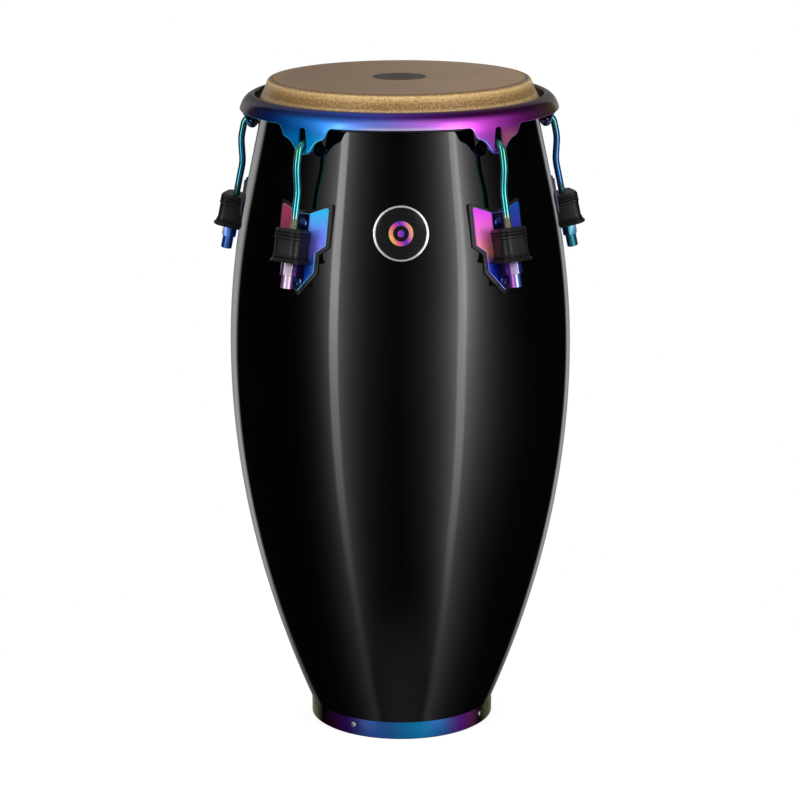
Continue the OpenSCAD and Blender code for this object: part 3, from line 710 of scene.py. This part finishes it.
# where the rim's colours change, up and round, painted shade and highlights among them
rimPaint = dict(ear=(0.7275, 0.7335), earTop=(0.712, 0.729), crown=(0.7335, 0.7405), brim=(0.7437, 0.7449),
                tip=(0.697, 0.706), highlightLeft=(0.445, 0.485), highlightRight=(0.515, 0.555), highlightTop=(0.728, 0.732),
                ends=(0.13, 0.18))
rimStops = tones((0.0, 120, 70, 180), (0.14, 40, 110, 190), (0.25, 130, 112, 70), (0.29, 74, 54, 56),
                 (0.33, 10, 26, 60), (0.375, 4, 50, 134), (0.425, 34, 150, 250), (0.485, 120, 134, 230),
                 (0.53, 222, 120, 255), (0.57, 250, 92, 255), (0.62, 104, 10, 112), (0.68, 48, 28, 30),
                 (0.73, 140, 132, 66), (0.86, 60, 140, 170), (1.0, 120, 70, 180))
crownShadeStops = tones((0.0, 50, 30, 90), (0.28, 44, 36, 44), (0.34, 16, 18, 44), (0.4, 34, 52, 104),
                   (0.46, 26, 60, 140), (0.5, 70, 30, 118), (0.55, 52, 0, 58), (0.62, 52, 6, 52),
                   (0.68, 48, 20, 50), (0.75, 96, 92, 44), (1.0, 50, 30, 90))
earStops = tones((0.0, 70, 90, 200), (0.2, 16, 66, 84), (0.36, 0, 100, 205), (0.4, 0, 152, 238),
                 (0.44, 0, 178, 246), (0.56, 206, 92, 232), (0.6, 140, 44, 184), (0.612, 214, 130, 90),
                 (0.63, 170, 60, 200), (0.8, 30, 50, 90), (1.0, 70, 90, 200))
tipStops = tones((0.22, 22, 54, 50), (0.38, 0, 190, 232), (0.42, 0, 190, 232), (0.58, 70, 72, 232),
                 (0.62, 70, 72, 232), (0.78, 40, 34, 52))
edgeHighlightStops = tones((0.0, 150, 170, 240), (0.35, 70, 210, 240), (0.45, 90, 200, 250), (0.5, 210, 170, 250),
                  (0.555, 250, 190, 255), (0.585, 100, 150, 250), (0.61, 130, 120, 245),
                  (0.66, 220, 120, 230), (0.8, 120, 220, 230), (1.0, 150, 170, 240))
rimFinish, shader, spot, paint = rainbow("rainbowRim", rimStops, Metallic=0.5, Specular_IOR_Level=0.25,
                                         Specular_Tint=tone(120, 96, 120))
x, y, z = axesOf(spot)
turn = turnOf(spot)
earPaint = mix(step(z, *rimPaint["earTop"]), ramp(turn, earStops, "B_SPLINE"), paint)
paint = mix(1 - step(z, *rimPaint["ear"]), paint, earPaint)
# the upper band takes a darker copy of the rainbow: painted shade
paint = mix(step(z, *rimPaint["crown"]), paint, ramp(turn, crownShadeStops, "B_SPLINE"))
# a warm grey line along the top of the roll: a painted highlight
paint = mix(step(z, *rimPaint["brim"]) * 0.75, paint, tone(112, 94, 82))
paint = mix((1 - step(z, *rimPaint["tip"])) * 0.6, paint, ramp(turn, tipStops))
# near white low on the front of the rim: a painted highlight
pale = within(turn, rimPaint["highlightLeft"], rimPaint["highlightRight"]) * (1 - step(z, *rimPaint["highlightTop"]))
paint = mix(pale * 0.85, paint, tone(226, 214, 252))
# the lower edge and the ear outlines lighter: a painted highlight
light = spot.node("ShaderNodeAttribute", {"attribute_name": "edgeLight"}, None, "Fac")
mix(light * 0.9, paint, ramp(turn, edgeHighlightStops)).into(shader, "Base Color")
ends = step((turn - 0.5).unsigned(), *rimPaint["ends"])  # brighter polish towards the sides and back
(0.18 + noise(spot, 60, 3) * 0.1 - ends * 0.09).into(shader, "Roughness")
finishPiece(rimPiece, "crown", "crown_metal", "rim", rimFinish)
print("rim spun:", len(rimPiece.data.polygons), "faces")

hoopFinish, shader, spot = newFinish("hoopMetal", Metallic=0.8)
mix(noise(spot, 90, 4), tone(24, 22, 21), tone(40, 37, 35)).into(shader, "Base Color")
roughen(spot, shader, 0.35, 0.15, 200, 2)
paintNode("flesh_hoop", hoopFinish)

# hook rods: teal green chrome, dark hook ends, cut thread at the lower end
rodSize = dict(thread=0.628, fade=0.0005, pitch=0.00125)
rodPaint = dict(upper=(0.676, 0.704), hook=(0.1735, 0.1775), brassLeft=(0.28, 0.34), brassRight=(0.66, 0.72),
                thread=(0.622, 0.638))
rodStops = tones((0.0, 60, 120, 190), (0.2, 40, 150, 190), (0.36, 40, 175, 195), (0.45, 40, 180, 190),
                 (0.6, 56, 190, 172), (0.72, 50, 120, 200), (0.82, 36, 120, 190), (1.0, 60, 120, 190))
rodFinish, shader, spot, paint = rainbow("rainbowRod", rodStops, drift=0.05, Metallic=0.85, **clearCoat)
x, y, z = axesOf(spot)
paint = mix(step(z, *rodPaint["upper"]) * 0.6, paint, tone(60, 160, 104))
paint = mix((1 - step(lengthOf(x, y), *rodPaint["hook"])) * 0.85, paint, tone(34, 34, 28))
brassy = within(turnOf(spot), rodPaint["brassLeft"], rodPaint["brassRight"])
threadPaint = mix(brassy, tone(44, 124, 112), tone(186, 172, 96))
mix((1 - step(z, *rodPaint["thread"])) * 0.8, paint, threadPaint).into(shader, "Base Color")
roughen(spot, shader, 0.1, 0.08, 90)
threadEnd = step(z, rodSize["thread"] - rodSize["fade"], rodSize["thread"] + rodSize["fade"])
bump(spot.math("SINE", z * (fullTurn / rodSize["pitch"])) * (1 - threadEnd), shader, 0.7, 0.0004)
for k in lugs:
    dressNode(f"hook_rod_{k}", f"hookRod_{k}", f"rod_{k}", "crown_metal", rodFinish, smooth=50)
print("hook rods finished")

# nuts and plates take their own colours at each lug
lugSize = dict(radius=0.19915, height=0.623, tilt=math.radians(12.4))


def lugFinish(name, k, **sockets):  # reads x outward, y to the right and z up the axis of a lug
    finish, shader, spot = newFinish(f"{name}_{k}", **sockets)
    turn = math.radians(lugAngles[k - 1])
    place = (lugSize["radius"] * math.cos(turn), lugSize["radius"] * math.sin(turn), lugSize["height"])
    local = spot.node("ShaderNodeMapping", {"vector_type": "TEXTURE"},
                      {"Vector": spot, "Location": place, "Rotation": (0, -lugSize["tilt"], turn)})
    return finish, shader, spot, axesOf(local)


# nuts: rainbow colours with a painted highlight in front and painted shade at the sides; each flat of the
# hexagon has one colour, the round below it runs through them
nutSize = dict(flats=6, hexagon=(-0.0579, -0.0577), edge=0.0004, smooth=28)
nutHueAndHighlightStops = {
    1: tones((0.28, 36, 10, 58), (0.38, 190, 112, 206), (0.45, 255, 240, 255), (0.56, 250, 226, 252),
             (0.63, 150, 80, 172), (0.72, 40, 10, 60)),
    2: tones((0.28, 30, 10, 70), (0.38, 150, 60, 206), (0.45, 214, 120, 242), (0.5, 204, 136, 246),
             (0.53, 232, 234, 255), (0.59, 110, 150, 246), (0.66, 30, 80, 202), (0.74, 10, 20, 80)),
    3: tones((0.28, 4, 30, 44), (0.4, 0, 96, 124), (0.5, 40, 190, 214), (0.6, 0, 110, 140),
             (0.72, 4, 24, 40)),
    4: tones((0.28, 20, 20, 80), (0.42, 60, 90, 220), (0.52, 190, 210, 255), (0.64, 130, 70, 200),
             (0.74, 30, 10, 70)),
    5: tones((0.28, 6, 14, 56), (0.4, 16, 66, 184), (0.5, 86, 160, 250), (0.6, 20, 76, 196),
             (0.72, 8, 16, 60))}
for k in lugs:
    nutFinish, shader, spot, (x, y, z) = lugFinish("rainbowNut", k, Metallic=0.4, **clearCoat)
    front = math.radians(-90 - lugAngles[k - 1])
    ahead = x * math.cos(front) + y * math.sin(front)
    across = y * math.cos(front) - x * math.sin(front)
    flat = spot.math("FLOOR", angleOf(y, x) * (nutSize["flats"] / fullTurn)) + 0.5  # counted from the lug's x
    flatTurn = (flat / nutSize["flats"] - (front / fullTurn - 0.5)).fraction()
    turn = angleOf(across, ahead) / fullTurn + 0.5
    place = turn + (flatTurn - turn) * step(z, *nutSize["hexagon"])
    paint = ramp((place * 2.0 - 0.5).fraction() / 2 + 0.25, nutHueAndHighlightStops[k])  # the back repeats the front
    mix(noise(spot, 90, 2) * 0.1, paint, tone(70, 60, 180)).into(shader, "Base Color")
    roughen(spot, shader, 0.13, 0.1, 120)
    dressNode(f"tuning_nut_{k}", f"tuningNut_{k}", f"nut_{k}", "crown_metal", nutFinish,
              width=nutSize["edge"], smooth=nutSize["smooth"])

# plates: a colour for each wing that changes on the way up, painted shade in the groove between, painted
# highlights on the edges
plateSize = dict(low=0.06, span=0.085, drift=0.012, grooveShade=(0.1, 0.6), leftWing=(-0.0094, -0.0086),
                 rightWing=(0.0086, 0.0094), edge=0.0006, smooth=8)
platePlaces = (0.2, 0.36, 0.62, 0.95)
plateTones = {
    1: (((26, 18, 70), (150, 62, 86), (176, 72, 100), (212, 88, 124)),
        ((34, 90, 210), (124, 112, 240), (104, 136, 252), (0, 190, 244))),
    2: (((24, 50, 190), (250, 150, 112), (244, 112, 214), (226, 40, 246)),
        ((40, 40, 160), (110, 48, 206), (72, 66, 214), (28, 108, 230))),
    3: (((16, 10, 30), (30, 14, 46), (50, 22, 74), (34, 16, 54)),
        ((20, 40, 110), (30, 80, 150), (30, 110, 170), (40, 140, 180))),
    4: (((40, 80, 200), (110, 130, 240), (60, 160, 240), (20, 180, 230)),
        ((60, 40, 160), (190, 80, 200), (220, 90, 210), (230, 110, 180))),
    5: (((20, 40, 110), (40, 70, 160), (50, 110, 190), (40, 140, 200)),
        ((8, 8, 24), (14, 14, 36), (14, 18, 46), (12, 16, 40)))}
plateEdgeHighlightStops = tones((0.0, 120, 160, 230), (0.2, 16, 18, 34), (0.3, 40, 50, 110), (0.37, 190, 90, 120),
                       (0.405, 90, 215, 250), (0.43, 130, 228, 252), (0.56, 246, 160, 252),
                       (0.59, 120, 150, 250), (0.63, 70, 150, 230), (0.7, 70, 40, 110), (0.8, 28, 18, 40),
                       (1.0, 120, 160, 230))
# the rounded edges get their own bright rainbow: painted highlights
edgeHighlightFinish, shader, spot, paint = rainbow("rainbowEdgeHighlight", plateEdgeHighlightStops, drift=0.004, Metallic=0.6)
paint.into(shader, "Base Color")
roughen(spot, shader, 0.14, 0.08, 70)
for k in lugs:
    plateFinish, shader, spot, (x, y, z) = lugFinish("rainbowPlate", k, Metallic=0.5)
    rise = (z + (noise(spot, 40, 2) - 0.5) * plateSize["drift"] + plateSize["low"]) / plateSize["span"]
    left, right = [ramp(rise, [(place, tone(*colour)) for place, colour in zip(platePlaces, wing)])
                   for wing in plateTones[k]]
    # the groove between the wings painted dark, darker towards the top: painted shade
    grooveShade = mix(step(rise, *plateSize["grooveShade"]), tone(34, 22, 100), tone(10, 12, 58))
    inner = mix(step(y, *plateSize["rightWing"]), grooveShade, right)
    mix(step(y, *plateSize["leftWing"]), left, inner).into(shader, "Base Color")
    roughen(spot, shader, 0.2, 0.1, 70)
    dressNode(f"side_plate_{k}", f"sidePlate_{k}", "drum", "crown_metal", plateFinish, edgeHighlightFinish,
              width=plateSize["edge"], smooth=plateSize["smooth"])
print("plates and nuts finished")

# black rubber: lug covers, gaskets, foot
rubberEdges = dict(cover=0.0007, gasket=0.0005, foot=0.0008)
rubberFinish, shader, spot = newFinish("blackRubber", Specular_IOR_Level=0.42)
mix(noise(spot, 60, 4), tone(9, 9, 10), tone(22, 22, 23)).into(shader, "Base Color")
roughen(spot, shader, 0.36, 0.14, 240)
bump(noise(spot, 900, 3), shader, 0.25, 0.0003)
for k in lugs:
    dressNode(f"rubber_cover_{k}", f"rubberCover_{k}", "drum", "black_rubber", rubberFinish,
              width=rubberEdges["cover"], segments=3)
    dressNode(f"plate_gasket_{k}", f"plateGasket_{k}", "drum", "black_rubber", rubberFinish,
              width=rubberEdges["gasket"])
dressNode("foot_rubber", "footRubber", "drum", "black_rubber", rubberFinish, width=rubberEdges["foot"])

# steel: bolts, washers, brackets
metalEdges = dict(bolt=0.0004, ring=0.0004, screw=0.0003)
steelFinish, shader, spot = newFinish("brightSteel", Metallic=0.9)
mix(noise(spot, 120, 4), tone(150, 152, 160), tone(200, 202, 210)).into(shader, "Base Color")
roughen(spot, shader, 0.2, 0.15, 300)
boltStops = tones((0.0, 60, 80, 170), (0.36, 30, 60, 130), (0.44, 40, 120, 190), (0.56, 70, 40, 150),
                  (0.64, 40, 70, 190), (1.0, 60, 80, 170))
boltFinish, shader, spot, paint = rainbow("rainbowBolt", boltStops, Metallic=0.92, Coat_Weight=1.0)
paint.into(shader, "Base Color")
roughen(spot, shader, 0.1, 0.1, 300)
dressNode("plate_bolts", "plateBolts", "drum", "steel", boltFinish, width=metalEdges["bolt"])
for node in ["bolt_washers", "bolt_nuts", "tuning_washers"] + [f"lug_bracket_{k}" for k in lugs]:
    paintNode(node, steelFinish)

# foot ring and its screws
footStops = tones((0.0, 60, 70, 150), (0.2, 90, 95, 45), (0.305, 85, 90, 50), (0.33, 5, 3, 5),
                  (0.37, 40, 0, 45), (0.395, 40, 0, 85), (0.45, 35, 75, 145), (0.53, 0, 115, 165),
                  (0.56, 0, 88, 155), (0.615, 85, 20, 125), (0.64, 90, 30, 75), (0.665, 5, 3, 5),
                  (0.69, 90, 90, 55), (0.8, 90, 95, 45), (1.0, 60, 70, 150))
footFinish, shader, spot, paint = rainbow("rainbowFoot", footStops, drift=0.01, blend="EASE", Metallic=0.2,
                                          Specular_IOR_Level=0.2)
paint.into(shader, "Base Color")
roughen(spot, shader, 0.3, 0.1, 60)
dressNode("foot_ring", "footRing", "drum", "crown_metal", footFinish, width=metalEdges["ring"])
dressNode("foot_ring_screws", "footScrews", "drum", "steel", steelFinish, width=metalEdges["screw"])

# badge: black disc in a thin bright ring, with a plain rainbow ring and dot
badgeSize = dict(height=0.6145, ring=0.0281, motifOut=0.0134, motifIn=0.0086, dot=0.0038, soft=0.0002,
                 slant=0.35, span=0.028, drift=0.25, edge=0.0003)
badgeStops = tones((0.0, 236, 190, 80), (0.25, 214, 96, 120), (0.45, 150, 50, 170), (0.6, 70, 50, 190),
                   (0.75, 190, 70, 170), (1.0, 240, 180, 90))
badgeFinish, shader, spot = newFinish("badgePrint")
x, y, z = axesOf(spot)
rise = z - badgeSize["height"]
away = lengthOf(x, rise)


def beyond(line):  # 1 outside one of the badge's circles
    return step(away, badgeSize[line] - badgeSize["soft"], badgeSize[line] + badgeSize["soft"])


onRing = beyond("ring")
motif = beyond("motifIn") * (1 - beyond("motifOut")) + (1 - beyond("dot"))
place = (x + rise * badgeSize["slant"]) / badgeSize["span"] + 0.5
hue = ramp(place + (noise(spot, 60, 2) - 0.5) * badgeSize["drift"], badgeStops)
paint = mix(noise(spot, 30, 2), tone(8, 8, 9), tone(18, 18, 20))
mix(onRing, mix(motif, paint, hue), tone(222, 224, 230)).into(shader, "Base Color")
(onRing * 0.6).into(shader, "Metallic")
roughen(spot, shader, 0.24, 0.1, 120)
dressNode("badge", "badgeDisc", "drum", "badge_print", badgeFinish, width=badgeSize["edge"])
print("small parts finished")

bpy.context.scene.view_settings.view_transform = "Standard"
bpy.context.view_layer.update()
